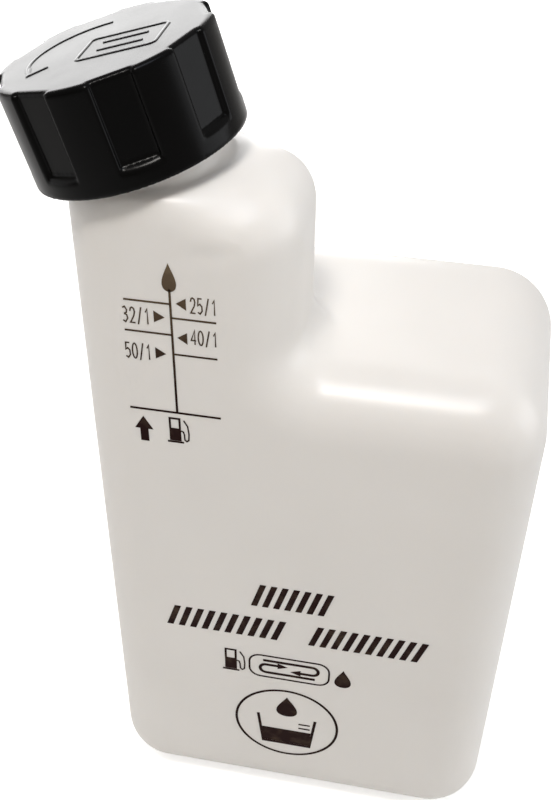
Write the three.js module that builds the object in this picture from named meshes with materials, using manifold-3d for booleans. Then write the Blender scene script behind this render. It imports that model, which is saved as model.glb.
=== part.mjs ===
// Fuel mixing bottle: a blow-moulded body with a measuring column, a tilted screw neck,
// a moulded grip cap and the sealing liner inside the cap. Millimetres, +Z up.
// The origin is the centre of the base. The front faces -Y and the column stands at -X.
import * as THREE from "three";
import { mergeVertices } from "three/addons/utils/BufferGeometryUtils.js";
import Module from "manifold-3d";

const wasm = await Module();
wasm.setup();

// Driving dimensions of the blow-moulded bottle
const bodyWidth = 105;
const bodyDepth = 69;
const shoulderHeight = 150;
const columnWidth = 50;
const columnDepth = 39;
const columnHeight = 189.5;
const wall = 1.5;
const edgeRound = 13.8;
const baseCornerRadius = 14.2;
const shoulderCornerRadius = 15.5;
const columnCornerRadius = 10.5;
const innerCornerRadius = 7;
const smallestRadius = 0.3;

// Driving dimensions of the neck
const neckTiltDegrees = 17;
const neckCentreFromSide = 14.8;
const neckSeatAboveColumn = 2;
const neckRadius = 17.6;
const neckWall = 2;
const neckRootDepth = 16;
const fairingTopGap = 0.6;
const fairingLength = 11.5;
const fairingFlare = 6.4;
const fairingBlend = 1;

// Driving dimensions of the cap and its liner
const capHeight = 21;
const capTopWall = 2;
const skirtWall = 2;
const skirtDraft = 0.5;
const capChamfer = 1.3;
const threadGap = 1.5;
const gripCount = 8;
const gripWidth = 7.8;
const gripDepth = 1.4;
const gripBandHeight = 4.2;
const linerThickness = 1;
const linerEdgeGap = 0.5;
const seatGap = 0.3;

// How finely the round forms are divided
const cornerSteps = 8;
const edgeSteps = 7;
const roundSteps = 64;

// Places that follow from the driving dimensions
const neckTilt = THREE.MathUtils.degToRad(neckTiltDegrees);
const leftSide = -bodyWidth / 2;
const front = -bodyDepth / 2;
const columnRight = leftSide + columnWidth;
const columnBack = front + columnDepth;
const neckSeat = new THREE.Vector3(
  leftSide + neckCentreFromSide,
  front + columnDepth / 2,
  columnHeight + neckSeatAboveColumn,
);
const capBoreRadius = neckRadius + threadGap;
const capRadius = capBoreRadius + skirtWall + gripDepth;
const linerTop = capHeight - capTopWall - seatGap;
const linerBottom = linerTop - linerThickness;
const neckRim = linerBottom - seatGap;

// A closed geometry as a solid, its shared vertices merged.
function toSolid(geometry) {
  const bare = geometry.clone();
  bare.deleteAttribute("normal");
  bare.deleteAttribute("uv");
  const merged = mergeVertices(bare, 1e-4);
  const mesh = new wasm.Mesh({
    numProp: 3,
    vertProperties: new Float32Array(merged.attributes.position.array),
    triVerts: new Uint32Array(merged.index.array),
  });
  return new wasm.Manifold(mesh);
}

// A solid as a geometry for a three.js mesh.
function toGeometry(solid) {
  const mesh = solid.getMesh();
  const geometry = new THREE.BufferGeometry();
  geometry.setAttribute("position", new THREE.BufferAttribute(mesh.vertProperties, mesh.numProp));
  geometry.setIndex(new THREE.BufferAttribute(mesh.triVerts, 1));
  geometry.computeVertexNormals();
  return geometry;
}

// The front outline of a form with square corners, moved inwards by inset and with its corners rounded.
// Corners run anticlockwise as seen from the front, each {x, z, radius}.
function roundedOutline(corners, inset) {
  const points = [];
  corners.forEach((corner, index) => {
    const before = corners[(index + corners.length - 1) % corners.length];
    const after = corners[(index + 1) % corners.length];
    const into = new THREE.Vector2(corner.x - before.x, corner.z - before.z).normalize();
    const outOf = new THREE.Vector2(after.x - corner.x, after.z - corner.z).normalize();
    const turn = into.cross(outOf) > 0 ? 1 : -1;
    const inward = new THREE.Vector2(-into.y - outOf.y, into.x + outOf.x);
    const tip = new THREE.Vector2(corner.x, corner.z).addScaledVector(inward, inset);
    const radius = Math.max(corner.radius - turn * inset, smallestRadius);
    const centre = tip.clone().addScaledVector(into, -radius).addScaledVector(outOf, radius);
    const start = Math.atan2(-turn * into.x, turn * into.y);
    for (let step = 0; step <= cornerSteps; step += 1) {
      const angle = start + (turn * step * Math.PI) / 2 / cornerSteps;
      points.push(new THREE.Vector2(centre.x + radius * Math.cos(angle), centre.y + radius * Math.sin(angle)));
    }
  });
  return points;
}

// A moulded form: the rounded outline swept from front to back, with both of its face edges rounded.
// The skin of the form is moved inwards by offset.
function mouldedForm(corners, frontY, backY, offset) {
  const round = edgeRound - offset;
  const stations = [];
  for (let step = 0; step <= edgeSteps; step += 1) {
    const angle = (step * Math.PI) / 2 / edgeSteps;
    stations.push({
      y: frontY + offset + round * (1 - Math.cos(angle)),
      inset: offset + round * (1 - Math.sin(angle)),
    });
  }
  for (let step = edgeSteps; step >= 0; step -= 1) {
    const angle = (step * Math.PI) / 2 / edgeSteps;
    stations.push({
      y: backY - offset - round * (1 - Math.cos(angle)),
      inset: offset + round * (1 - Math.sin(angle)),
    });
  }
  const rings = stations.map(({ y, inset }) => ({ y, outline: roundedOutline(corners, inset) }));
  const count = rings[0].outline.length;
  const positions = [];
  for (const ring of rings) {
    for (const point of ring.outline) positions.push(point.x, ring.y, point.y);
  }
  const faces = [];
  for (let ring = 0; ring + 1 < rings.length; ring += 1) {
    for (let index = 0; index < count; index += 1) {
      const next = (index + 1) % count;
      const here = ring * count;
      const there = here + count;
      faces.push(here + index, there + next, here + next);
      faces.push(here + index, there + index, there + next);
    }
  }
  const last = (rings.length - 1) * count;
  for (const [a, b, c] of THREE.ShapeUtils.triangulateShape(rings[0].outline, [])) faces.push(a, b, c);
  for (const [a, b, c] of THREE.ShapeUtils.triangulateShape(rings.at(-1).outline, [])) {
    faces.push(last + a, last + c, last + b);
  }
  const geometry = new THREE.BufferGeometry();
  geometry.setAttribute("position", new THREE.Float32BufferAttribute(positions, 3));
  geometry.setIndex(faces);
  return toSolid(geometry);
}

// The front outline of the column and of the body below it, an L with a rounded inner corner.
function columnCorners() {
  const right = leftSide + bodyWidth;
  return [
    { x: leftSide, z: 0, radius: baseCornerRadius },
    { x: right, z: 0, radius: baseCornerRadius },
    { x: right, z: shoulderHeight, radius: shoulderCornerRadius },
    { x: columnRight, z: shoulderHeight, radius: innerCornerRadius },
    { x: columnRight, z: columnHeight, radius: columnCornerRadius },
    { x: leftSide, z: columnHeight, radius: columnCornerRadius },
  ];
}

// The outline of the deep body, which runs on behind the column as a ledge.
function bodyCorners() {
  const right = leftSide + bodyWidth;
  return [
    { x: leftSide, z: 0, radius: baseCornerRadius },
    { x: right, z: 0, radius: baseCornerRadius },
    { x: right, z: shoulderHeight, radius: shoulderCornerRadius },
    { x: leftSide, z: shoulderHeight, radius: shoulderCornerRadius },
  ];
}

// A lathed form about the neck's tilted axis. The profile holds [radius, height above the cap's seat].
function neckLathe(profile) {
  const geometry = new THREE.LatheGeometry(
    profile.map(([radius, height]) => new THREE.Vector2(radius, height)),
    roundSteps,
  );
  geometry.rotateX(Math.PI / 2);
  geometry.rotateY(-neckTilt);
  geometry.translate(neckSeat.x, neckSeat.y, neckSeat.z);
  return toSolid(geometry);
}

function neckCylinder(radius, low, high) {
  return neckLathe([[0, low], [radius, low], [radius, high], [0, high]]);
}

// The upright prism of the column's plan, which keeps the fairing inside the column's walls.
function columnPlan() {
  const plan = new THREE.Shape();
  const round = edgeRound;
  plan.moveTo(leftSide + round, front);
  plan.lineTo(columnRight - round, front);
  plan.absarc(columnRight - round, front + round, round, -Math.PI / 2, 0, false);
  plan.lineTo(columnRight, columnBack - round);
  plan.absarc(columnRight - round, columnBack - round, round, 0, Math.PI / 2, false);
  plan.lineTo(leftSide + round, columnBack);
  plan.absarc(leftSide + round, columnBack - round, round, Math.PI / 2, Math.PI, false);
  plan.lineTo(leftSide, front + round);
  plan.absarc(leftSide + round, front + round, round, Math.PI, (3 * Math.PI) / 2, false);
  const height = columnHeight - shoulderHeight + capRadius;
  const geometry = new THREE.ExtrudeGeometry(plan, {
    depth: height,
    bevelEnabled: false,
    curveSegments: cornerSteps,
  });
  geometry.translate(0, 0, shoulderHeight);
  return toSolid(geometry);
}

// The cone of skin that leads from the column's top up to the neck, just below the cap's rim.
function neckFairing(offset) {
  const top = -fairingTopGap;
  const low = top - fairingLength;
  const profile = [
    [0, low],
    [neckRadius + fairingFlare - offset, low],
    [neckRadius + fairingBlend - offset, top - fairingBlend],
    [neckRadius - offset, top],
    [0, top],
  ];
  return neckLathe(profile).intersect(columnPlan());
}

// The blow-moulded bottle: a thin shell, open at the neck's rim.
function bottleSolid() {
  const outerBody = mouldedForm(bodyCorners(), front, front + bodyDepth, 0);
  const outerColumn = mouldedForm(columnCorners(), front, columnBack, 0);
  const neck = neckCylinder(neckRadius, -neckRootDepth, neckRim);
  const outside = outerBody.add(outerColumn).add(neckFairing(0)).add(neck);
  const innerBody = mouldedForm(bodyCorners(), front, front + bodyDepth, wall);
  const innerColumn = mouldedForm(columnCorners(), front, columnBack, wall);
  const bore = neckCylinder(neckRadius - neckWall, -neckRootDepth, neckRim + 1);
  return outside.subtract(innerBody.add(innerColumn).add(bore));
}

// One of the grip recesses in the cap's skirt: open at the top, with a sloped ledge at its foot.
function gripCutter(angle) {
  const floor = capRadius - gripDepth;
  const outside = capRadius + gripDepth;
  const side = new THREE.Shape();
  side.moveTo(floor, gripBandHeight + gripDepth);
  side.lineTo(capRadius, gripBandHeight);
  side.lineTo(outside, gripBandHeight - gripDepth);
  side.lineTo(outside, capHeight + gripDepth);
  side.lineTo(floor, capHeight + gripDepth);
  const geometry = new THREE.ExtrudeGeometry(side, { depth: gripWidth, bevelEnabled: false });
  geometry.translate(0, 0, -gripWidth / 2);
  geometry.rotateX(Math.PI / 2);
  geometry.rotateZ(angle);
  return toSolid(geometry);
}

// The moulded cap, hollow from below, in its own frame: +Z out along the neck, z 0 at its lower rim.
function capSolid() {
  const top = capHeight - capTopWall;
  const profile = [
    [0, top],
    [capBoreRadius, top],
    [capBoreRadius, 0],
    [capRadius, 0],
    [capRadius - skirtDraft, capHeight - capChamfer],
    [capRadius - skirtDraft - capChamfer, capHeight],
    [0, capHeight],
  ];
  const lathe = new THREE.LatheGeometry(profile.map(([x, y]) => new THREE.Vector2(x, y)), roundSteps);
  lathe.rotateX(Math.PI / 2);
  let cap = toSolid(lathe);
  for (let index = 0; index < gripCount; index += 1) {
    cap = cap.subtract(gripCutter((index * 2 * Math.PI) / gripCount - Math.PI / 2));
  }
  return cap;
}

// The sealing disc that lies under the cap's top and closes the neck's rim.
function linerGeometry() {
  const radius = capBoreRadius - linerEdgeGap;
  const geometry = new THREE.CylinderGeometry(radius, radius, linerThickness, roundSteps);
  geometry.rotateX(Math.PI / 2);
  return geometry;
}

const bottlePlastic = new THREE.MeshStandardMaterial({ color: 0xe9e6df, roughness: 0.4, metalness: 0 });
const capPlastic = new THREE.MeshStandardMaterial({ color: 0x121212, roughness: 0.22, metalness: 0 });
const linerFoam = new THREE.MeshStandardMaterial({ color: 0xf0efe9, roughness: 0.7, metalness: 0 });

const mixingBottle = new THREE.Group();

const bottle = new THREE.Mesh(toGeometry(bottleSolid()), bottlePlastic);
bottle.name = "bottle";
mixingBottle.add(bottle);

const closure = new THREE.Group();
closure.position.copy(neckSeat);
closure.rotation.y = -neckTilt;
mixingBottle.add(closure);

const cap = new THREE.Mesh(toGeometry(capSolid()), capPlastic);
cap.name = "screw_cap";
closure.add(cap);

const liner = new THREE.Mesh(linerGeometry(), linerFoam);
liner.name = "cap_liner";
liner.position.z = linerBottom + linerThickness / 2;
closure.add(liner);

export default mixingBottle;
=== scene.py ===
"""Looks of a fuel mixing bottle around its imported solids.

A blow-moulded bottle of natural polyethylene with a measuring column and a tilted neck, its printed
scale and symbols, an injection-moulded screw cap with grip recesses, and the foam liner in the cap.
Sizes are written in millimetres and turned to metres where a mesh is made.
"""

import logging
import math
from dataclasses import dataclass
from enum import Enum
from typing import Callable, Sequence

import bmesh
import bpy
import numpy as np
from mathutils import Euler, Matrix, Vector


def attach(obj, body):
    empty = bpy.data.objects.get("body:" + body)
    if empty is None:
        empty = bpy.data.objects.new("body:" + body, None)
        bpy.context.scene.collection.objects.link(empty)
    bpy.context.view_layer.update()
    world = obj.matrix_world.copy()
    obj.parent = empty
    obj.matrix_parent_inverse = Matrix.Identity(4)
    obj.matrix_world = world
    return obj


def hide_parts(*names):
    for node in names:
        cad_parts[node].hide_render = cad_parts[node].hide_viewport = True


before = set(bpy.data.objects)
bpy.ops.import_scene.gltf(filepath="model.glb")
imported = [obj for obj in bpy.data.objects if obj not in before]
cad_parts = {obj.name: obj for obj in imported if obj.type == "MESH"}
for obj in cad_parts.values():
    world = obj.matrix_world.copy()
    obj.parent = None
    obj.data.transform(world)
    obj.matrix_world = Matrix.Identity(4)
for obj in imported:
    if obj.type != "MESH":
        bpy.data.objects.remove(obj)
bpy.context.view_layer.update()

logging.basicConfig(level=logging.INFO, format="%(message)s")
log = logging.getLogger("mixing_bottle")

MM = 0.001
WHITE = (1.0, 1.0, 1.0, 1.0)
SHARP = 0.01
Array = np.ndarray
Numbers = Sequence[float]
Field = Callable[[Array], Array]
Outline = list[tuple[float, float]]
Place = tuple[float, float, float]
Tree = bpy.types.NodeTree
Socket = bpy.types.NodeSocket


class Slot(Enum):
    """Material slots of the record."""

    BOTTLE = "bottle_plastic"
    CAP = "cap_plastic"
    LINER = "liner"


class Body(Enum):
    """Moving bodies of the record."""

    BOTTLE = "bottle"
    CAP = "cap"
    LINER = "liner"


# Colour and shader helpers


def linear(code: str) -> tuple[float, float, float, float]:
    """Turns an sRGB hex value to a linear colour.

    Args:
        code: The colour as "#rrggbb".

    Returns:
        Linear red, green and blue, and an alpha of 1.
    """
    parts = [int(code[i : i + 2], 16) / 255 for i in (1, 3, 5)]
    red, green, blue = (c / 12.92 if c <= 0.04045 else ((c + 0.055) / 1.055) ** 2.4 for c in parts)
    return (red, green, blue, 1.0)


def add_node(
    tree: Tree, kind: str, links: dict | None = None, values: dict | None = None, **settings: object
) -> bpy.types.Node:
    """Adds a node with its settings, input values and links.

    Args:
        tree: The node tree that gets the node.
        kind: The node's type name without its "ShaderNode" start.
        links: Output sockets that go into the node, by input name or number.
        values: Constants for the node's inputs, by input name or number.
        **settings: Properties of the node itself.

    Returns:
        The new node.
    """
    node = tree.nodes.new("ShaderNode" + kind)
    for name, value in settings.items():
        setattr(node, name, value)
    for name, value in (values or {}).items():
        node.inputs[name].default_value = value
    for name, socket in (links or {}).items():
        tree.links.new(socket, node.inputs[name])
    return node


def per_metre(feature_mm: float) -> float:
    """The texture scale at which one pattern cell measures feature_mm."""
    return 1.0 / (feature_mm * MM)


def noise(tree: Tree, where: Socket, feature_mm: float, detail: float = 2.0) -> Socket:
    """Adds a noise whose features measure feature_mm."""
    values = {"Scale": per_metre(feature_mm), "Detail": detail}
    return add_node(tree, "TexNoise", {"Vector": where}, values).outputs["Fac"]


def blend(tree: Tree, factor: Socket, first: str, second: str) -> Socket:
    """Adds a blend of two hex colours."""
    ends = {"A": linear(first), "B": linear(second)}
    return add_node(tree, "Mix", {"Factor": factor}, ends, data_type="RGBA").outputs["Result"]


def span(tree: Tree, value: Socket, low: float, high: float, start: float = 0.0, end: float = 1.0) -> Socket:
    """Adds a map of the range from start to end onto the range from low to high."""
    limits = {"From Min": start, "From Max": end, "To Min": low, "To Max": high}
    return add_node(tree, "MapRange", {"Value": value}, limits).outputs["Result"]


def bump(tree: Tree, height: Socket, strength: float, depth_mm: float, under: Socket | None = None) -> Socket:
    """Adds a bump, over another one where that is given."""
    links = {"Height": height}
    if under is not None:
        links["Normal"] = under
    return add_node(tree, "Bump", links, {"Strength": strength, "Distance": depth_mm * MM}).outputs["Normal"]


# Finishes


@dataclass(frozen=True)
class Finish:
    """A finish that builds its own material."""

    name: str

    def surface(self, tree: Tree, where: Socket) -> Socket:
        """Adds the finish's nodes.

        Args:
            tree: The material's node tree.
            where: Object coordinates, in metres.

        Returns:
            The shader's output.
        """
        raise NotImplementedError

    def material(self) -> bpy.types.Material:
        """Builds the material around the finish's surface."""
        material = bpy.data.materials.new(self.name)
        material.use_nodes = True
        tree = material.node_tree
        tree.nodes.clear()
        place = add_node(tree, "TexCoord")
        shader = self.surface(tree, place.outputs["Object"])
        add_node(tree, "OutputMaterial", {"Surface": shader})
        return material


@dataclass(frozen=True)
class BlowMouldedPolyethylene(Finish):
    """Natural HDPE, blow-moulded: milky, faintly translucent, with a satin skin that waves a little."""

    name: str = "hdpe_blow_moulded_natural"
    thick: str = "#e5e2dd"
    thin: str = "#eeebe6"
    refraction: float = 1.53
    glow_mm: float = 2.5
    glow_share: float = 0.25
    glow_reach: Place = (1.0, 0.9, 0.8)
    roughness_low: float = 0.30
    roughness_high: float = 0.38
    wall_cloud_mm: float = 38.0
    wave_mm: float = 7.0
    wave_detail: float = 1.0
    wave_strength: float = 0.10
    wave_depth_mm: float = 0.3
    grain_mm: float = 0.7
    grain_strength: float = 0.08
    grain_depth_mm: float = 0.05

    def surface(self, tree: Tree, where: Socket) -> Socket:
        """Adds wall-thickness clouds, a waved skin and a fine grain from the mould."""
        clouds = noise(tree, where, self.wall_cloud_mm)
        wave = noise(tree, where, self.wave_mm, self.wave_detail)
        waved = bump(tree, wave, self.wave_strength, self.wave_depth_mm)
        grain = noise(tree, where, self.grain_mm)
        links = {
            "Base Color": blend(tree, clouds, self.thick, self.thin),
            "Roughness": span(tree, clouds, self.roughness_low, self.roughness_high),
            "Normal": bump(tree, grain, self.grain_strength, self.grain_depth_mm, waved),
        }
        values = {
            "IOR": self.refraction,
            "Subsurface Weight": self.glow_share,
            "Subsurface Radius": self.glow_reach,
            "Subsurface Scale": self.glow_mm * MM,
        }
        return add_node(tree, "BsdfPrincipled", links, values).outputs["BSDF"]


@dataclass(frozen=True)
class GlossyPolypropylene(Finish):
    """Black polypropylene, injection-moulded in a polished mould: deep, glossy, with faint flow marks."""

    name: str = "pp_injection_moulded_black"
    deep: str = "#020202"
    worn: str = "#060606"
    refraction: float = 1.49
    polish: float = 0.11
    roughness_low: float = 0.16
    roughness_high: float = 0.30
    flow_mm: float = 9.0
    flow_detail: float = 3.0
    scuff_mm: float = 0.5
    scuff_strength: float = 0.06
    scuff_depth_mm: float = 0.03

    def surface(self, tree: Tree, where: Socket) -> Socket:
        """Adds flow marks in the gloss and fine handling scuffs."""
        flow = noise(tree, where, self.flow_mm, self.flow_detail)
        scuff = noise(tree, where, self.scuff_mm)
        links = {
            "Base Color": blend(tree, flow, self.deep, self.worn),
            "Roughness": span(tree, flow, self.roughness_low, self.roughness_high),
            "Normal": bump(tree, scuff, self.scuff_strength, self.scuff_depth_mm),
        }
        values = {"IOR": self.refraction, "Specular IOR Level": self.polish}
        return add_node(tree, "BsdfPrincipled", links, values).outputs["BSDF"]


@dataclass(frozen=True)
class PolyethyleneFoam(Finish):
    """Closed-cell PE foam, cut from sheet: matte and off-white, with cells that just show."""

    name: str = "pe_foam_sheet"
    skin: str = "#efeee8"
    pit: str = "#d9d8d0"
    refraction: float = 1.5
    roughness: float = 0.8
    cell_mm: float = 0.6
    pit_strength: float = 0.4
    pit_depth_mm: float = 0.05

    def surface(self, tree: Tree, where: Socket) -> Socket:
        """Adds a cell pattern in colour and bump."""
        pattern = add_node(tree, "TexVoronoi", {"Vector": where}, {"Scale": per_metre(self.cell_mm)})
        cells = pattern.outputs["Distance"]
        links = {
            "Base Color": blend(tree, cells, self.pit, self.skin),
            "Normal": bump(tree, cells, self.pit_strength, self.pit_depth_mm),
        }
        values = {"Roughness": self.roughness, "IOR": self.refraction}
        return add_node(tree, "BsdfPrincipled", links, values).outputs["BSDF"]


@dataclass(frozen=True)
class ScreenPrintInk(Finish):
    """Solvent ink, screen-printed: dark brown-black, with small misses, and painted paler towards the scale's
    top as painted light.
    """

    name: str = "screen_print_ink"
    full: str = "#220d0a"
    # Pale ink colour: the real misses, and also the painted light on the scale's top.
    missed_and_lit: str = "#6b5c49"
    refraction: float = 1.4
    polish: float = 0.1
    roughness: float = 0.55
    # Heights over which painted light makes the ink paler towards the top.
    painted_light_from_mm: float = 148.0
    painted_light_to_mm: float = 185.0
    patch_mm: float = 3.0
    patch_detail: float = 4.0
    miss_share: float = 0.3
    miss_from: float = 0.5
    miss_to: float = 0.8
    dot_mm: float = 0.35
    dot_strength: float = 0.2
    dot_depth_mm: float = 0.02

    def surface(self, tree: Tree, where: Socket) -> Socket:
        """Adds weaker patches, painted light that makes the top paler, and a fine screen grain."""
        patch = noise(tree, where, self.patch_mm, self.patch_detail)
        misses = span(tree, patch, 0.0, self.miss_share, self.miss_from, self.miss_to)
        # Painted light: this ramp with height makes the ink paler towards the scale's top.
        height = add_node(tree, "SeparateXYZ", {"Vector": where}).outputs["Z"]
        fade = span(tree, height, 0.0, 1.0, self.painted_light_from_mm * MM, self.painted_light_to_mm * MM)
        share = add_node(tree, "Math", {0: misses, 1: fade}, operation="ADD", use_clamp=True)
        dots = noise(tree, where, self.dot_mm)
        links = {
            "Base Color": blend(tree, share.outputs["Value"], self.full, self.missed_and_lit),
            "Normal": bump(tree, dots, self.dot_strength, self.dot_depth_mm),
        }
        values = {"Roughness": self.roughness, "IOR": self.refraction, "Specular IOR Level": self.polish}
        return add_node(tree, "BsdfPrincipled", links, values).outputs["BSDF"]


@dataclass(frozen=True)
class StudioPaper(Finish):
    """Pale matt paper of a studio floor, lifted to white where the camera sees it."""

    name: str = "studio_paper"
    tone: str = "#f4f4f3"
    lift: float = 0.55
    fibre_mm: float = 2.0
    fibre_strength: float = 0.1
    fibre_depth_mm: float = 0.05

    def surface(self, tree: Tree, where: Socket) -> Socket:
        """Adds matt paper for the light, and the same paper lifted to white for the camera."""
        fibre = noise(tree, where, self.fibre_mm)
        rough = bump(tree, fibre, self.fibre_strength, self.fibre_depth_mm)
        paper = add_node(tree, "BsdfDiffuse", {"Normal": rough}, {"Color": linear(self.tone)}).outputs["BSDF"]
        white = add_node(tree, "Emission", None, {"Color": WHITE, "Strength": self.lift}).outputs["Emission"]
        lit = add_node(tree, "AddShader", {0: paper, 1: white}).outputs["Shader"]
        seen = add_node(tree, "LightPath").outputs["Is Camera Ray"]
        return add_node(tree, "MixShader", {0: seen, 1: paper, 2: lit}).outputs["Shader"]


# Forms from distance fields


def rounded_rectangle(x: Array, z: Array, box: Numbers, radii: Numbers) -> Array:
    """Distance to a rectangle with its own radius at each corner.

    Args:
        x: Horizontal places.
        z: Vertical places.
        box: Left, bottom, right and top.
        radii: Radii at bottom left, bottom right, top right and top left.

    Returns:
        Signed distances, negative inside.
    """
    left, bottom, right, top = box
    across = x - (left + right) / 2
    up = z - (bottom + top) / 2
    low_left, low_right, top_right, top_left = radii
    high = np.where(across > 0, top_right, top_left)
    low = np.where(across > 0, low_right, low_left)
    radius = np.where(up > 0, high, low)
    reach_x = np.abs(across) - (right - left) / 2
    reach_z = np.abs(up) - (top - bottom) / 2
    corner_x = reach_x + radius
    corner_z = reach_z + radius
    outside = np.hypot(np.maximum(corner_x, 0), np.maximum(corner_z, 0)) - radius
    return np.where((corner_x > 0) & (corner_z > 0), outside, np.maximum(reach_x, reach_z))


def moulded(flat: Array, y: Array, front: float, back: float, edge: float) -> Array:
    """Distance to an outline drawn out from front to back with both face edges rounded.

    Args:
        flat: Distance to the outline in the front view.
        y: Depth places.
        front: The front face's depth.
        back: The back face's depth.
        edge: Radius of the face edges.

    Returns:
        Signed distances, negative inside.
    """
    across = flat + edge
    along = np.abs(y - (front + back) / 2) - (back - front) / 2 + edge
    inner = np.minimum(np.maximum(across, along), 0)
    return inner + np.hypot(np.maximum(across, 0), np.maximum(along, 0)) - edge


def fillet_union(a: Array, b: Array, radius: float) -> Array:
    """Joins two distance fields with a fillet of that radius in the corner between them."""
    corner = np.hypot(np.maximum(radius - a, 0), np.maximum(radius - b, 0))
    return np.maximum(radius, np.minimum(a, b)) - corner


def fillet_common(a: Array, b: Array, radius: float) -> Array:
    """Keeps what two distance fields share, with the edge between them rounded to that radius."""
    return -fillet_union(-a, -b, radius)


def gradient(field: Field, points: Array, step: float = 0.05) -> Array:
    """The field's slope at each point, by central differences."""
    slope = np.empty_like(points)
    for axis in range(3):
        shift = np.zeros(3)
        shift[axis] = step
        slope[:, axis] = (field(points + shift) - field(points - shift)) / (2 * step)
    return slope


def skin(field: Field, low: Place, high: Place, cell: float) -> tuple[Array, Array]:
    """Lays a mesh of four-sided faces over the zero surface of a distance field.

    Each grid cell that the surface passes holds one point, which is then moved onto the surface.

    Args:
        field: Distance to the form for points given as rows.
        low: Lowest corner of the space that is looked through.
        high: Highest corner of that space.
        cell: Grid size.

    Returns:
        Points as rows, and faces as rows of four point numbers.
    """
    axes = [np.arange(a, b + cell, cell) for a, b in zip(low, high)]
    shape = tuple(len(a) for a in axes)
    grid = np.stack(np.meshgrid(*axes, indexing="ij"), -1).reshape(-1, 3)
    value = field(grid).reshape(shape)
    cells = tuple(n - 1 for n in shape)
    total = np.zeros(cells + (3,))
    count = np.zeros(cells)
    base = np.stack(np.meshgrid(*[a[:-1] for a in axes], indexing="ij"), -1)

    def corner(offset: tuple[int, int, int]) -> Array:
        """Field values at one corner of every cell."""
        i, j, k = offset
        return value[i : i + cells[0], j : j + cells[1], k : k + cells[2]]

    for axis in range(3):
        others = [a for a in range(3) if a != axis]
        for first in (0, 1):
            for second in (0, 1):
                start = [0, 0, 0]
                start[others[0]], start[others[1]] = first, second
                end = list(start)
                end[axis] = 1
                a, b = corner(tuple(start)), corner(tuple(end))
                crosses = (a < 0) != (b < 0)
                share = np.where(crosses, a / np.where(crosses, a - b, 1), 0)
                point = base + np.array(start) * cell
                point[..., axis] += share * cell
                total += np.where(crosses[..., None], point, 0)
                count += crosses
    active = count > 0
    number = np.full(cells, -1)
    number[active] = np.arange(active.sum())
    points = total[active] / count[active][:, None]
    faces = []
    for axis in range(3):
        b, c = [(axis + 1) % 3, (axis + 2) % 3]
        near = [slice(None)] * 3
        near[axis] = slice(0, shape[axis] - 1)
        far = [slice(None)] * 3
        far[axis] = slice(1, shape[axis])
        inside_near = value[tuple(near)] < 0
        inside_far = value[tuple(far)] < 0
        for flip in (False, True):
            hit = (inside_near & ~inside_far) if not flip else (~inside_near & inside_far)
            index = np.argwhere(hit)
            index = index[(index[:, b] > 0) & (index[:, c] > 0)]
            index = index[(index[:, b] < shape[b] - 1) & (index[:, c] < shape[c] - 1)]
            ring = []
            for step_b, step_c in ((0, 0), (-1, 0), (-1, -1), (0, -1)):
                moved = index.copy()
                moved[:, b] += step_b
                moved[:, c] += step_c
                ring.append(number[tuple(moved.T)])
            quad = np.stack(ring, 1)
            faces.append(quad if not flip else quad[:, ::-1])
    for _ in range(4):
        slope = gradient(field, points)
        size = np.maximum((slope**2).sum(1), 0.2)
        points = points - slope * (field(points) / size)[:, None]
    return points, np.concatenate(faces)


def mesh_object(name: str, points: Array, faces: list[list[int]], smooth: bool = True) -> bpy.types.Object:
    """Makes a mesh object from points in millimetres.

    Args:
        name: The piece's name.
        points: Points as rows, in millimetres.
        faces: Faces as lists of point numbers.
        smooth: Whether the faces are shaded smooth.

    Returns:
        The object, linked to the scene.
    """
    mesh = bpy.data.meshes.new(name)
    mesh.from_pydata((np.asarray(points, float) * MM).tolist(), [], faces)
    mesh.validate()
    for polygon in mesh.polygons:
        polygon.use_smooth = smooth
    piece = bpy.data.objects.new(name, mesh)
    bpy.context.scene.collection.objects.link(piece)
    return piece


def sweep(
    name: str, path: Array, across: Array, up: Array, profile: Outline, closed: bool = False
) -> bpy.types.Object:
    """Sweeps a closed profile along a path whose cross directions are given.

    Args:
        name: The piece's name.
        path: Points of the path.
        across: The profile's first direction at each point, which may shrink to end the sweep.
        up: The profile's second direction at each point.
        profile: The profile's corners.
        closed: Whether the path ends where it starts.

    Returns:
        The swept piece.
    """
    corners = np.array(profile)
    rings = path[:, None] + corners[None, :, :1] * across[:, None] + corners[None, :, 1:] * up[:, None]
    count, size = rings.shape[:2]
    faces = []
    for i in range(count if closed else count - 1):
        j = (i + 1) % count
        for k in range(size):
            m = (k + 1) % size
            faces.append([i * size + k, i * size + m, j * size + m, j * size + k])
    if not closed:
        faces.append(list(range(size))[::-1])
        faces.append([(count - 1) * size + k for k in range(size)])
    piece = mesh_object(name, rings.reshape(-1, 3), faces, smooth=False)
    tidy_normals(piece)
    return piece


def tidy_normals(piece: bpy.types.Object) -> None:
    """Turns all faces of a mesh outwards."""
    work = bmesh.new()
    work.from_mesh(piece.data)
    bmesh.ops.recalc_face_normals(work, faces=work.faces)
    work.to_mesh(piece.data)
    work.free()


def dress(piece: bpy.types.Object, material: bpy.types.Material, body: Body) -> None:
    """Gives a piece its material and the body that it moves with."""
    piece.data.materials.clear()
    piece.data.materials.append(material)
    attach(piece, body.value)
    log.info("piece %s: %d faces", piece.name, len(piece.data.polygons))


# The bottle


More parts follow.
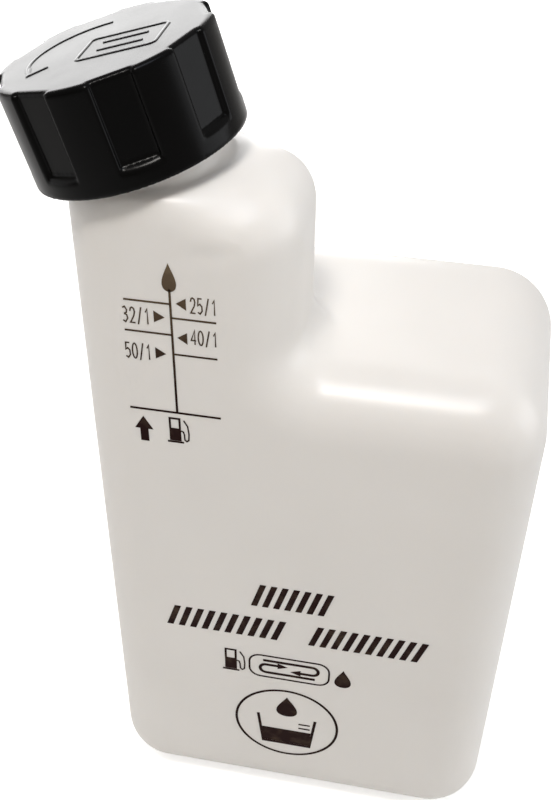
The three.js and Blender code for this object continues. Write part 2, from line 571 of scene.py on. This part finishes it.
@dataclass(frozen=True)
class Neck:
    """The tilted screw neck, and the frame that the cap shares with it."""

    tilt_degrees: float = 17.0
    seat: tuple[float, float, float] = (-37.7, -15.0, 191.5)
    radius: float = 17.6
    root: float = 16.0
    rim: float = 17.4
    spare: float = 6.0
    thread_pitch: float = 4.2
    thread_depth: float = 1.0
    thread_width: float = 1.5
    thread_root: float = 0.2
    thread_flank: float = 0.3
    crest_share: float = 0.45
    thread_low: float = 4.0
    thread_turns: float = 2.2
    run_out_rate: float = 6.0
    run_out_least: float = 0.05
    steps_per_turn: int = 72

    def turned(self) -> Array:
        """The neck's own axes as rows, in the bottle's frame."""
        return np.array(Matrix.Rotation(-math.radians(self.tilt_degrees), 3, "Y")).T

    def local(self, points: Array) -> Array:
        """Points of the bottle's frame in the neck's own frame."""
        return (points - np.array(self.seat)) @ self.turned().T

    def world(self, points: Array) -> Array:
        """Points of the neck's own frame in the bottle's frame."""
        return points @ self.turned() + np.array(self.seat)

    def screw(
        self, name: str, radius: float, outwards: float, low: float, shift: float, turns: float
    ) -> bpy.types.Object:
        """Makes one thread: a ridge that climbs round the neck's axis and runs out at both ends.

        Args:
            name: The piece's name.
            radius: Radius of the wall that it stands on.
            outwards: 1 where it stands outwards, -1 where it stands inwards.
            low: Height of its start above the cap's seat.
            shift: Angle of its start in radians.
            turns: Number of turns.

        Returns:
            The thread.
        """
        steps = int(turns * self.steps_per_turn)
        share = np.linspace(0, 1, steps + 1)
        angle = shift + share * turns * 2 * math.pi
        fade = np.clip(np.minimum(share, 1 - share) * turns * self.run_out_rate, self.run_out_least, 1)
        flat = np.stack([np.cos(angle), np.sin(angle), np.zeros_like(angle)], 1)
        height = low + self.thread_pitch * (angle - shift) / (2 * math.pi)
        path = flat * radius
        path[:, 2] = height
        upward = np.tile([0.0, 0.0, 1.0], (len(path), 1))
        foot = self.thread_width / 2 + self.thread_flank
        crest = self.thread_width / 2 * self.crest_share
        depth, root = self.thread_depth, -self.thread_root
        profile = [(root, -foot), (depth, -crest), (depth, crest), (root, foot)]
        across = flat * outwards * fade[:, None]
        turn = self.turned()
        return sweep(name, self.world(path), across @ turn, upward @ turn, profile)


@dataclass
class MouldedBottle:
    """The blow-moulded shell: the deep body, the measuring column beside the shoulder, and the neck."""

    width: float = 105.0
    depth: float = 69.0
    shoulder: float = 150.0
    column_width: float = 49.3
    column_depth: float = 39.0
    column_height: float = 189.9
    wall: float = 1.5
    edge: float = 13.8
    base_corner: float = 14.2
    shoulder_corner: float = 15.5
    column_corner: float = 10.5
    inner_corner: float = 7.0
    ledge_fillet: float = 4.5
    side_draw: float = 1.2
    draw_height: float = 190.0
    draw_most: float = 1.1
    fairing_gap: float = 0.6
    fairing_collar: float = 1.0
    fairing_length: float = 11.5
    fairing_flare: float = 6.4
    fairing_fillet: float = 3.5
    fairing_rise: float = 1.3
    plan_edge: float = 2.5
    cell: float = 1.4
    # Known fault: the neck's rim reaches 1.1 mm past this left margin of 6 mm, and is cut off there.
    margin_low: Place = (6.0, 3.3, 3.0)
    margin_high: Place = (3.0, 3.0, 32.0)
    neck: Neck = Neck()

    @property
    def left(self) -> float:
        """The left side's place."""
        return -self.width / 2

    @property
    def front(self) -> float:
        """The front face's place."""
        return -self.depth / 2

    @property
    def column_right(self) -> float:
        """The place of the column's right wall."""
        return self.left + self.column_width

    @property
    def column_back(self) -> float:
        """The place of the column's back wall."""
        return self.front + self.column_depth

    def body_outline(self, x: Array, z: Array) -> Array:
        """Distance to the deep body's front outline."""
        corners = (self.base_corner, self.base_corner, self.shoulder_corner, self.shoulder_corner)
        return rounded_rectangle(x, z, (self.left, 0, -self.left, self.shoulder), corners)

    def column_outline(self, x: Array, z: Array) -> Array:
        """Distance to the column's front outline, which runs down to the base."""
        corners = (self.base_corner, SHARP, self.column_corner, self.column_corner)
        return rounded_rectangle(x, z, (self.left, 0, self.column_right, self.column_height), corners)

    def step_outline(self, x: Array, z: Array) -> Array:
        """Distance to the front outline of column and body together, an L with a rounded inner corner.

        Args:
            x: Horizontal places.
            z: Heights.

        Returns:
            Signed distances, negative inside.
        """
        turn = self.column_right
        right = -self.left
        corners = [
            (self.left, 0, self.base_corner),
            (right, 0, self.base_corner),
            (right, self.shoulder, self.shoulder_corner),
            (turn, self.shoulder, self.inner_corner),
            (turn, self.column_height, self.column_corner),
            (self.left, self.column_height, self.column_corner),
        ]
        place = np.stack([x, z], -1)
        nearest = np.full(x.shape, np.inf)
        ends = []
        for i, (corner_x, corner_z, radius) in enumerate(corners):
            corner = np.array([corner_x, corner_z])
            come = corner - np.array(corners[i - 1][:2])
            go = np.array(corners[(i + 1) % len(corners)][:2]) - corner
            come = come / np.linalg.norm(come)
            go = go / np.linalg.norm(go)
            ends.append((corner - come * radius, corner + go * radius))
            offset = place - (corner - come * radius + go * radius)
            on_arc = (offset @ come > 0) & (offset @ go < 0)
            gap = np.abs(np.hypot(offset[..., 0], offset[..., 1]) - radius)
            nearest = np.where(on_arc, np.minimum(nearest, gap), nearest)
        for i, (_, start) in enumerate(ends):
            run = ends[(i + 1) % len(ends)][0] - start
            share = np.clip((place - start) @ run / (run @ run), 0, 1)
            offset = place - start - share[..., None] * run
            nearest = np.minimum(nearest, np.hypot(offset[..., 0], offset[..., 1]))
        from_x = turn + self.inner_corner - x
        from_z = self.shoulder + self.inner_corner - z
        in_nook = (np.minimum(from_x, from_z) > 0) & (np.maximum(from_x, from_z) < self.inner_corner)
        in_fillet = in_nook & (np.hypot(from_x, from_z) > self.inner_corner)
        inside = (self.body_outline(x, z) < 0) | (self.column_outline(x, z) < 0) | in_fillet
        return np.where(inside, -nearest, nearest)

    def plan(self, x: Array, y: Array) -> Array:
        """Distance to the column's plan."""
        sides = (self.left, self.front, self.column_right, self.column_back)
        return rounded_rectangle(x, y, sides, (self.edge,) * 4)

    def form(self, points: Array) -> Array:
        """Distance to the bottle's outside.

        Args:
            points: Points as rows, in millimetres.

        Returns:
            Signed distances, negative inside.
        """
        x, y, z = points.T
        draw = self.side_draw * np.clip(z / self.draw_height, 0, self.draw_most)
        x = x - draw * (0.5 - x / self.width)
        back = -self.front
        step_flat = self.step_outline(x, z)
        body = moulded(self.body_outline(x, z), y, self.front, back, self.edge)
        column = moulded(self.column_outline(x, z), y, self.front, self.column_back, self.edge)
        step = moulded(step_flat, y, self.front, self.column_back, self.edge)
        envelope = moulded(step_flat, y, self.front, back, self.edge)
        ledge = np.maximum(fillet_union(body, column, self.ledge_fillet), envelope)
        whole = np.minimum(np.minimum(step, body), ledge)
        neck = self.neck
        u, v, w = neck.local(points).T
        radial = np.hypot(u, v)
        foot = -w - neck.root
        top = -self.fairing_gap
        slope = self.fairing_flare / self.fairing_length
        flare = neck.radius + self.fairing_collar + (top - w) * slope
        side = (radial - flare) / math.hypot(1, slope)
        cone = np.maximum(np.maximum(side, w - top), foot)
        cone = fillet_common(cone, z - self.column_height - self.fairing_rise, self.plan_edge)
        shaft = np.maximum(np.maximum(radial - neck.radius, w - neck.rim - neck.spare), foot)
        fairing = fillet_union(column, cone, self.fairing_fillet)
        fairing = fillet_common(fairing, self.plan(x, y), self.plan_edge)
        return np.minimum(np.minimum(whole, fairing), shaft)

    def shell(self) -> bpy.types.Object:
        """Builds the shell: the outside, cut off at the neck's rim, with a wall inside it."""
        under, over = self.margin_low, self.margin_high
        low = (self.left - under[0], self.front - under[1], -under[2])
        high = (-self.left + over[0], -self.front + over[1], self.column_height + over[2])
        points, faces = skin(self.form, low, high, self.cell)
        shell = mesh_object("bottle_shell", points, faces.tolist())
        neck = self.neck
        axis = Vector(neck.turned()[2])
        rim = Vector(neck.world(np.array([[0, 0, neck.rim]]))[0]) * MM
        work = bmesh.new()
        work.from_mesh(shell.data)
        bmesh.ops.recalc_face_normals(work, faces=work.faces)
        bmesh.ops.bisect_plane(
            work,
            geom=list(work.verts) + list(work.edges) + list(work.faces),
            plane_co=rim,
            plane_no=axis,
            clear_outer=True,
        )
        work.to_mesh(shell.data)
        work.free()
        wall = shell.modifiers.new("wall", "SOLIDIFY")
        wall.thickness = self.wall * MM
        wall.offset = -1
        return shell

    def build(self, plastic: bpy.types.Material) -> None:
        """Makes the shell and the neck's thread and dresses them."""
        shell = self.shell()
        dress(shell, plastic, Body.BOTTLE)
        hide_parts("bottle")
        neck = self.neck
        thread = neck.screw("neck_thread", neck.radius, 1, neck.thread_low, 0.0, neck.thread_turns)
        dress(thread, plastic, Body.BOTTLE)


# The print


def mirrored(path: Outline, centre: tuple[float, float]) -> Outline:
    """The path turned half round about a centre."""
    return [(2 * centre[0] - x, 2 * centre[1] - z) for x, z in path]


def arc(centre: tuple[float, float], radius: float, start: float, end: float, steps: int = 12) -> Outline:
    """Points on an arc, its angles in degrees."""
    angles = np.radians(np.linspace(start, end, steps + 1))
    return [(centre[0] + radius * math.cos(a), centre[1] + radius * math.sin(a)) for a in angles]


def rounded_path(box: Numbers, radius: float) -> Outline:
    """Points of a rounded rectangle, anticlockwise from its right side."""
    left, bottom, right, top = box
    return (
        arc((right - radius, bottom + radius), radius, -90, 0, 6)
        + arc((right - radius, top - radius), radius, 0, 90, 6)
        + arc((left + radius, top - radius), radius, 90, 180, 6)
        + arc((left + radius, bottom + radius), radius, 180, 270, 6)
    )


def side_steps(path: Array, closed: bool) -> Array:
    """Mitred sideways directions along a flat path.

    Args:
        path: The path's points as rows of two.
        closed: Whether the path ends where it starts.

    Returns:
        One direction for each point, longer at corners so that a band keeps its width.
    """
    ahead = np.roll(path, -1, 0) - path
    behind = path - np.roll(path, 1, 0)
    if not closed:
        ahead[-1] = behind[-1]
        behind[0] = ahead[0]
    ahead = ahead / np.linalg.norm(ahead, axis=1)[:, None]
    behind = behind / np.linalg.norm(behind, axis=1)[:, None]
    middle = ahead + behind
    middle = middle / np.linalg.norm(middle, axis=1)[:, None]
    stretch = 1 / np.maximum((middle * ahead).sum(1), 0.5)
    return np.stack([-middle[:, 1], middle[:, 0]], 1) * stretch[:, None]


FIGURES = {
    "0": [(0.5 + 0.5 * math.cos(a), 0.5 + 0.5 * math.sin(a)) for a in np.linspace(0, 2 * math.pi, 17)[:-1]],
    "1": [(0.2, 0.76), (0.56, 1.0), (0.56, 0.0)],
    "2": [(0.04, 0.74), (0.22, 0.95), (0.5, 1.0), (0.84, 0.92), (0.96, 0.72), (0.78, 0.46)]
    + [(0.02, 0.0), (1.0, 0.0)],
    "3": [(0.06, 0.92), (0.5, 1.0), (0.9, 0.8), (0.8, 0.62), (0.46, 0.56), (0.46, 0.52), (0.84, 0.46)]
    + [(0.96, 0.24), (0.5, 0.0), (0.02, 0.1)],
    "4": [(0.76, 0.0), (0.76, 1.0), (0.0, 0.28), (1.0, 0.28)],
    "5": [(0.92, 1.0), (0.16, 1.0), (0.08, 0.54), (0.5, 0.64), (0.9, 0.5), (0.94, 0.2)]
    + [(0.5, 0.0), (0.04, 0.1)],
    "/": [(0.1, -0.08), (0.82, 1.06)],
}


@dataclass(frozen=True)
class Ratio:
    """One ratio of the scale: its line and pointer as left, right and height, and its figures' box."""

    words: str
    line: Place
    pointer: Place
    box: tuple[float, float, float, float]


AXIS = -27.7
LINE_END = -18.2
RATIOS = (
    Ratio("25/1", (-37.6, AXIS, 167.7), (-26.5, -24.4, 168.0), (-23.7, 166.2, -17.8, 169.8)),
    Ratio("32/1", (AXIS, LINE_END, 164.4), (-31.4, -29.1, 164.3), (-38.3, 162.2, -32.0, 165.9)),
    Ratio("40/1", (-37.9, AXIS, 160.2), (-26.6, -24.5, 159.7), (-23.9, 158.5, -17.8, 162.0)),
    Ratio("50/1", (AXIS, LINE_END, 155.4), (-31.6, -29.3, 155.2), (-38.4, 153.2, -32.3, 157.0)),
)


BANDS = ((-12.3, 10.0, 81.0, 88.9), (-34.8, -1.8, 69.1, 76.5), (2.6, 34.4, 69.1, 76.5))


@dataclass
class PrintedMarks:
    """The screen print on the front: the mixing scale, plain symbols and plain hatched bands."""

    front: float = -34.5
    film: float = 0.06
    thin: float = 0.42
    thick: float = 0.85
    axis_line: float = 0.504
    figure_line: float = 0.3
    figure_share: float = 0.68
    figure_gap: float = 0.16
    pointer_half: float = 1.4
    fuel_level: float = 139.8
    bar_pitch: float = 3.0
    bar_share: float = 0.55
    bar_start: float = 0.2
    bar_lean: float = 2.4
    frame_line: float = 0.5
    glass_line: float = 0.8
    ring_centre: tuple[float, float] = (-2.0, 34.4)
    ring_radius: float = 14.2
    ring_line: float = 0.7

    def __post_init__(self) -> None:
        """Starts with no marks."""
        self.points: list[tuple[float, float]] = []
        self.faces: list[list[int]] = []

    def patch(self, outline: Outline) -> None:
        """Adds one filled mark."""
        start = len(self.points)
        self.points.extend(outline)
        self.faces.append(list(range(start, start + len(outline))))

    def stroke(self, path: Outline, width: float, closed: bool = False) -> None:
        """Adds a line of that width along a path."""
        line = np.array(path, float)
        side = side_steps(line, closed) * width / 2
        count = len(line)
        start = len(self.points)
        self.points.extend(map(tuple, line + side))
        self.points.extend(map(tuple, line - side))
        for i in range(count if closed else count - 1):
            j = (i + 1) % count
            self.faces.append([start + i, start + j, start + count + j, start + count + i])

    def pointer(self, left: float, right: float, height: float) -> None:
        """Adds one small triangle that points at the axis."""
        half = self.pointer_half
        tip, foot = (right, left) if left < AXIS else (left, right)
        self.patch([(tip, height), (foot, height + half), (foot, height - half)])

    def drop(self, centre: float, low: float, high: float, half: float) -> None:
        """Adds a filled drop with its tip up."""
        turn = np.linspace(0, 2 * math.pi, 41)[:-1]
        wide = np.sin(turn) * np.sin(turn / 2) ** 1.6
        wide = wide / wide.max() * half
        tall = low + (high - low) * (1 + np.cos(turn)) / 2
        self.patch(list(zip(centre - wide, tall)))

    def label(self, words: str, box: Numbers) -> None:
        """Adds a ratio of the scale in plain figures, fitted to its box.

        Args:
            words: The figures, with a slash between them.
            box: Left, bottom, right and top of their place.
        """
        left, bottom, right, top = box
        pitch = (right - left) / len(words)
        wide = pitch * self.figure_share
        for i, sign in enumerate(words):
            foot = left + (i + self.figure_gap) * pitch
            line = [(foot + x * wide, bottom + z * (top - bottom)) for x, z in FIGURES[sign]]
            self.stroke(line, self.figure_line, closed=sign == "0")

    def pump(self, box: Numbers) -> None:
        """Adds a plain fuel pump: a case with a window and a hose.

        Args:
            box: Left, bottom, right and top of its place.
        """
        left, bottom, right, top = box
        width, height = right - left, top - bottom
        line = 0.09 * width

        def at(x: float, z: float) -> tuple[float, float]:
            """A place given as shares of the box."""
            return (left + x * width, bottom + z * height)

        self.stroke([at(0, 0.04), at(0.7, 0.04)], line)
        self.patch([at(0.1, 0.09), at(0.6, 0.09), at(0.6, 0.58), at(0.1, 0.58)])
        self.stroke([at(0.14, 0.58), at(0.14, 0.96), at(0.56, 0.96), at(0.56, 0.58)], line)
        hose = [at(0.6, 0.5), at(0.7, 0.47), at(0.74, 0.36), at(0.75, 0.16), at(0.83, 0.1)]
        hose += [at(0.92, 0.16), at(0.94, 0.4), at(0.9, 0.7), at(0.74, 0.92)]
        self.stroke(hose, line * 0.7)

    def hatch(self, left: float, right: float, bottom: float, top: float) -> None:
        """Adds a band of slanted bars.

        Args:
            left: Its left end.
            right: Its right end.
            bottom: Its lower edge.
            top: Its upper edge.
        """
        lean = self.bar_lean
        count = max(1, round((right - left - lean) / self.bar_pitch))
        pitch = (right - left - lean) / count
        wide = pitch * self.bar_share
        for i in range(count):
            foot = left + (i + self.bar_start) * pitch
            self.patch([(foot, bottom), (foot + wide, bottom), (foot + wide + lean, top), (foot + lean, top)])

    def scale(self) -> None:
        """Adds the mixing scale: axis, levels, pointers, figures and the fuel line."""
        self.drop(AXIS, low=170.6, high=177.2, half=1.5)
        self.stroke([(AXIS, 171.2), (AXIS, self.fuel_level)], self.axis_line)
        self.stroke([(-38.4, self.fuel_level), (-17.9, self.fuel_level)], self.axis_line)
        for ratio in RATIOS:
            left, right, height = ratio.line
            self.stroke([(left, height), (right, height)], self.thin)
            self.pointer(*ratio.pointer)
            self.label(ratio.words, ratio.box)
        self.up_arrow(box=(-37.7, 130.7, -33.5, 137.7), stem=0.95)
        self.pump(box=(-30.3, 131.2, -25.0, 138.4))

    def up_arrow(self, box: Numbers, stem: float) -> None:
        """Adds a filled arrow that points up, its head the upper half of the box."""
        left, low, right, high = box
        centre = (left + right) / 2
        middle = (low + high) / 2
        self.patch([(centre, high), (left, middle), (right, middle)])
        left, right = centre - stem, centre + stem
        self.patch([(left, low), (right, low), (right, middle), (left, middle)])

    def symbols(self) -> None:
        """Adds the plain bands and the row of symbols with the ring below."""
        for band in BANDS:
            self.hatch(*band)
        self.pump(box=(-19.6, 54.0, -13.2, 62.8))
        self.drop(12.8, low=54.0, high=61.0, half=2.2)
        frame_box = (-12.3, 53.5, 9.1, 62.1)
        self.stroke(rounded_path(frame_box, radius=3.0), self.frame_line, closed=True)
        centre = ((frame_box[0] + frame_box[2]) / 2, (frame_box[1] + frame_box[3]) / 2)
        run = [(-8.6, 60.2), (4.6, 60.2)] + arc((4.6, 58.6), 1.6, 90, -90)[1:] + [(1.4, 57.0)]
        head = [(-1.2, 57.0), (1.5, 58.1), (1.5, 55.9)]
        for path, tip in ((run, head), (mirrored(run, centre), mirrored(head, centre))):
            self.stroke(path, self.thick)
            self.patch(tip)
        self.stroke(arc(self.ring_centre, self.ring_radius, 0, 360, 72)[:-1], self.ring_line, closed=True)
        self.beaker(self.ring_centre)

    def beaker(self, middle: tuple[float, float]) -> None:
        """Adds a plain half-full beaker with a drop over it, inside the ring."""
        x, z = middle
        glass = [(x - 8.0, z + 2.8), (x - 6.6, z - 9.4), (x + 6.6, z - 9.4), (x + 8.0, z + 2.8)]
        self.stroke(glass, self.glass_line)
        self.patch([(x - 6.9, z - 3.0), (x - 6.3, z - 8.9), (x + 6.3, z - 8.9), (x + 6.9, z - 3.0)])
        for step in (-1.4, 0.4):
            self.stroke([(x + 3.4, z + step), (x + 6.6, z + step)], self.frame_line)
        self.drop(x, low=z + 3.2, high=z + 11.6, half=2.9)

    def build(self, ink: bpy.types.Material) -> None:
        """Prints all marks as one thin film on the front."""
        self.scale()
        self.symbols()
        points = np.array([(x, self.front - self.film, z) for x, z in self.points])
        marks = mesh_object("front_print", points, self.faces, smooth=False)
        work = bmesh.new()
        work.from_mesh(marks.data)
        for face in work.faces:
            face.normal_update()
            if face.normal.y > 0:
                face.normal_flip()
        work.to_mesh(marks.data)
        work.free()
        film = marks.modifiers.new("film", "SOLIDIFY")
        film.thickness = self.film * MM
        film.offset = -1
        dress(marks, ink, Body.BOTTLE)


# The closure


RELIEF = [(-0.65, -0.1), (-0.3, 0.14), (0.0, 0.19), (0.3, 0.14), (0.65, -0.1)]
TOP_MARK = {
    "cap_frame": (rounded_path((-3.5, -7.0, 13.0, 4.0), 1.2), True),
    "cap_bar_upper": ([(0.0, 0.6), (9.5, 0.6)], False),
    "cap_bar_lower": ([(0.0, -3.4), (9.5, -3.4)], False),
    "cap_arrow": (arc((-1.0, -1.0), 14.0, 95, 215, 24), False),
    "cap_arrow_head": ([(-13.9, -5.2), (-12.6, -9.3), (-9.4, -6.6)], False),
}


@dataclass
class ScrewCap:
    """The moulded cap: a hollow drum with eight grip recesses, a thread inside and a raised mark on top."""

    height: float = 21.0
    radius: float = 22.5
    draft: float = 0.2
    bore: float = 19.1
    roof: float = 2.0
    top_round: float = 1.0
    lower_round: float = 0.4
    grips: int = 8
    grip_phase: float = -68.0
    grip_width: float = 7.8
    grip_depth: float = 1.5
    band: float = 3.8
    ledge_rise: float = 1.0
    blend: float = 0.8
    cell: float = 0.5
    margin: float = 2.0
    neck: Neck = Neck()

    def form(self, points: Array) -> Array:
        """Distance to the cap, in its own frame.

        Args:
            points: Points as rows, in millimetres, with z up from the lower rim.

        Returns:
            Signed distances, negative inside.
        """
        x, y, z = points.T
        radial = np.hypot(x, y)
        side = radial - (self.radius - self.draft * np.clip(z / self.height, 0, 1))
        ends = np.abs(z - self.height / 2) - self.height / 2
        upper = fillet_common(side, ends, self.top_round)
        lower = fillet_common(side, ends, self.lower_round)
        drum = np.where(z > self.height / 2, upper, lower)
        pitch = 2 * math.pi / self.grips
        angle = np.arctan2(y, x) - math.radians(self.grip_phase)
        angle = angle - pitch * np.round(angle / pitch)
        outward = radial * np.cos(angle)
        across = np.abs(radial * np.sin(angle))
        floor = self.radius - self.grip_depth - outward
        slope = self.ledge_rise / self.grip_depth
        ledge = (self.band + (self.radius - outward) * slope - z) / math.hypot(1, slope)
        recess = np.maximum(np.maximum(across - self.grip_width / 2, floor), ledge)
        drum = fillet_common(drum, -recess, self.blend)
        hollow = np.maximum(radial - self.bore, z - (self.height - self.roof))
        return np.maximum(drum, -hollow)

    def relief(self, path: Outline, name: str, closed: bool = False) -> bpy.types.Object:
        """Raises a fine rounded line on the cap's top.

        Args:
            path: The line's points on the top.
            name: The piece's name.
            closed: Whether it ends where it starts.

        Returns:
            The raised line.
        """
        flat = np.array(path)
        side = np.insert(side_steps(flat, closed), 2, 0, 1)
        place = np.insert(flat, 2, self.height, 1)
        up = np.tile([0.0, 0.0, 1.0], (len(flat), 1))
        turn = self.neck.turned()
        return sweep(name, self.neck.world(place), side @ turn, up @ turn, RELIEF, closed)

    def top_mark(self, plastic: bpy.types.Material) -> None:
        """Adds a plain raised frame with bars and a turning arrow."""
        for name, (path, closed) in TOP_MARK.items():
            dress(self.relief(path, name, closed), plastic, Body.CAP)

    def build(self, plastic: bpy.types.Material) -> None:
        """Makes the cap, its thread and its raised mark and dresses them."""
        reach = self.radius + self.margin
        high = (reach, reach, self.height + self.margin)
        points, faces = skin(self.form, (-reach, -reach, -self.margin), high, self.cell)
        cap = mesh_object("cap_shell", self.neck.world(points), faces.tolist())
        tidy_normals(cap)
        dress(cap, plastic, Body.CAP)
        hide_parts("screw_cap")
        neck = self.neck
        start = neck.thread_low - neck.thread_pitch / 2
        thread = neck.screw("cap_thread", self.bore, -1, start, 0.0, neck.thread_turns)
        dress(thread, plastic, Body.CAP)
        self.top_mark(plastic)


@dataclass
class Liner:
    """The foam disc under the cap's top."""

    def build(self, foam: bpy.types.Material) -> None:
        """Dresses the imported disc."""
        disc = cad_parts["cap_liner"]
        disc.data.materials.clear()
        disc.data.materials.append(foam)
        log.info("carried over: cap_liner")


# The studio


@dataclass(frozen=True)
class Lamp:
    """A soft rectangular lamp: its centre, the point it faces and its size in millimetres, and watts."""

    name: str
    place: Place
    aim: Place
    size: tuple[float, float]
    power: float
    tone: str

    def hang(self) -> None:
        """Adds the lamp to the scene."""
        light = bpy.data.lights.new(self.name, "AREA")
        light.shape = "RECTANGLE"
        light.size = self.size[0] * MM
        light.size_y = self.size[1] * MM
        light.energy = self.power
        light.color = linear(self.tone)[:3]
        lamp = bpy.data.objects.new(self.name, light)
        lamp.location = Vector(self.place) * MM
        lamp.rotation_euler = (Vector(self.aim) - Vector(self.place)).to_track_quat("-Z", "Y").to_euler()
        bpy.context.scene.collection.objects.link(lamp)


LAMPS = (
    Lamp("window", (-40, -254, 656), (10, -30, 146), (115, 95), 1.5, "#fffaf4"),
    Lamp("overhead", (60, -150, 700), (0, 0, 100), (260, 200), 0.65, "#e4eeff"),
    Lamp("right_fill", (520, 80, 260), (0, 0, 120), (400, 300), 0.7, "#f8fbff"),
    Lamp("left_fill", (-560, -40, 200), (0, 0, 110), (400, 300), 0.3, "#fbfcff"),
    Lamp("backdrop", (-458, 775, 330), (-44, -15, 212), (900, 500), 5.7, "#fdfdfd"),
)


@dataclass
class Studio:
    """The paper floor, the lamps, the room's light and the camera."""

    floor_half: float = 3000.0
    bright_side: Place = (0.64, 0.45, 0.62)
    room_low: float = 0.18
    room_high: float = 0.56
    room_warm: str = "#ffefdd"
    room_cool: str = "#eaf3ff"
    eye: Place = (31.18, -221.83, 293.43)
    turn_degrees: Place = (47.8166, -0.4361, 11.3515)
    sensor: float = 36.0
    lens: float = 50.924
    shift: tuple[float, float] = (-0.00178, 0.11537)
    nearest_m: float = 0.01
    farthest_m: float = 20.0

    def floor(self, paper: bpy.types.Material) -> None:
        """Lays the pale floor."""
        half = self.floor_half
        corners = np.array([(-half, -half, 0), (half, -half, 0), (half, half, 0), (-half, half, 0)])
        floor = mesh_object("floor", corners, [[0, 1, 2, 3]], smooth=False)
        floor.data.materials.append(paper)

    def world(self) -> None:
        """Fills the room with soft light, most of it from behind and above, and shows white to the camera."""
        world = bpy.data.worlds.new("room")
        bpy.context.scene.world = world
        world.use_nodes = True
        tree = world.node_tree
        tree.nodes.clear()
        place = add_node(tree, "TexCoord").outputs["Generated"]
        facing = add_node(tree, "VectorMath", {0: place}, {1: self.bright_side}, operation="DOT_PRODUCT")
        level = span(tree, facing.outputs["Value"], self.room_low, self.room_high, -1.0, 1.0)
        tone = blend(tree, level, self.room_warm, self.room_cool)
        room = add_node(tree, "Background", {"Strength": level, "Color": tone}).outputs["Background"]
        white = add_node(tree, "Background", None, {"Color": WHITE, "Strength": 1.0}).outputs["Background"]
        seen = add_node(tree, "LightPath").outputs["Is Camera Ray"]
        mixed = add_node(tree, "MixShader", {0: seen, 1: room, 2: white}).outputs["Shader"]
        add_node(tree, "OutputWorld", {"Surface": mixed})

    def camera(self) -> None:
        """Sets up the camera at the picture's viewpoint."""
        data = bpy.data.cameras.new("camera")
        data.sensor_width = self.sensor
        data.lens = self.lens
        data.shift_x, data.shift_y = self.shift
        data.clip_start = self.nearest_m
        data.clip_end = self.farthest_m
        camera = bpy.data.objects.new("camera", data)
        camera.location = Vector(self.eye) * MM
        camera.rotation_euler = Euler([math.radians(a) for a in self.turn_degrees], "XYZ")
        bpy.context.scene.collection.objects.link(camera)
        bpy.context.scene.camera = camera

    def build(self) -> None:
        """Sets up camera, floor, room and lamps."""
        bpy.context.scene.view_settings.view_transform = "Standard"
        self.camera()
        self.floor(StudioPaper().material())
        self.world()
        for lamp in LAMPS:
            lamp.hang()


def main() -> None:
    """Builds the studio and the bottle's sub-assemblies in order."""
    Studio().build()
    hdpe = BlowMouldedPolyethylene().material()
    black = GlossyPolypropylene().material()
    MouldedBottle().build(hdpe)
    PrintedMarks().build(ScreenPrintInk().material())
    ScrewCap().build(black)
    Liner().build(PolyethyleneFoam().material())


if __name__ == "__main__":
    main()
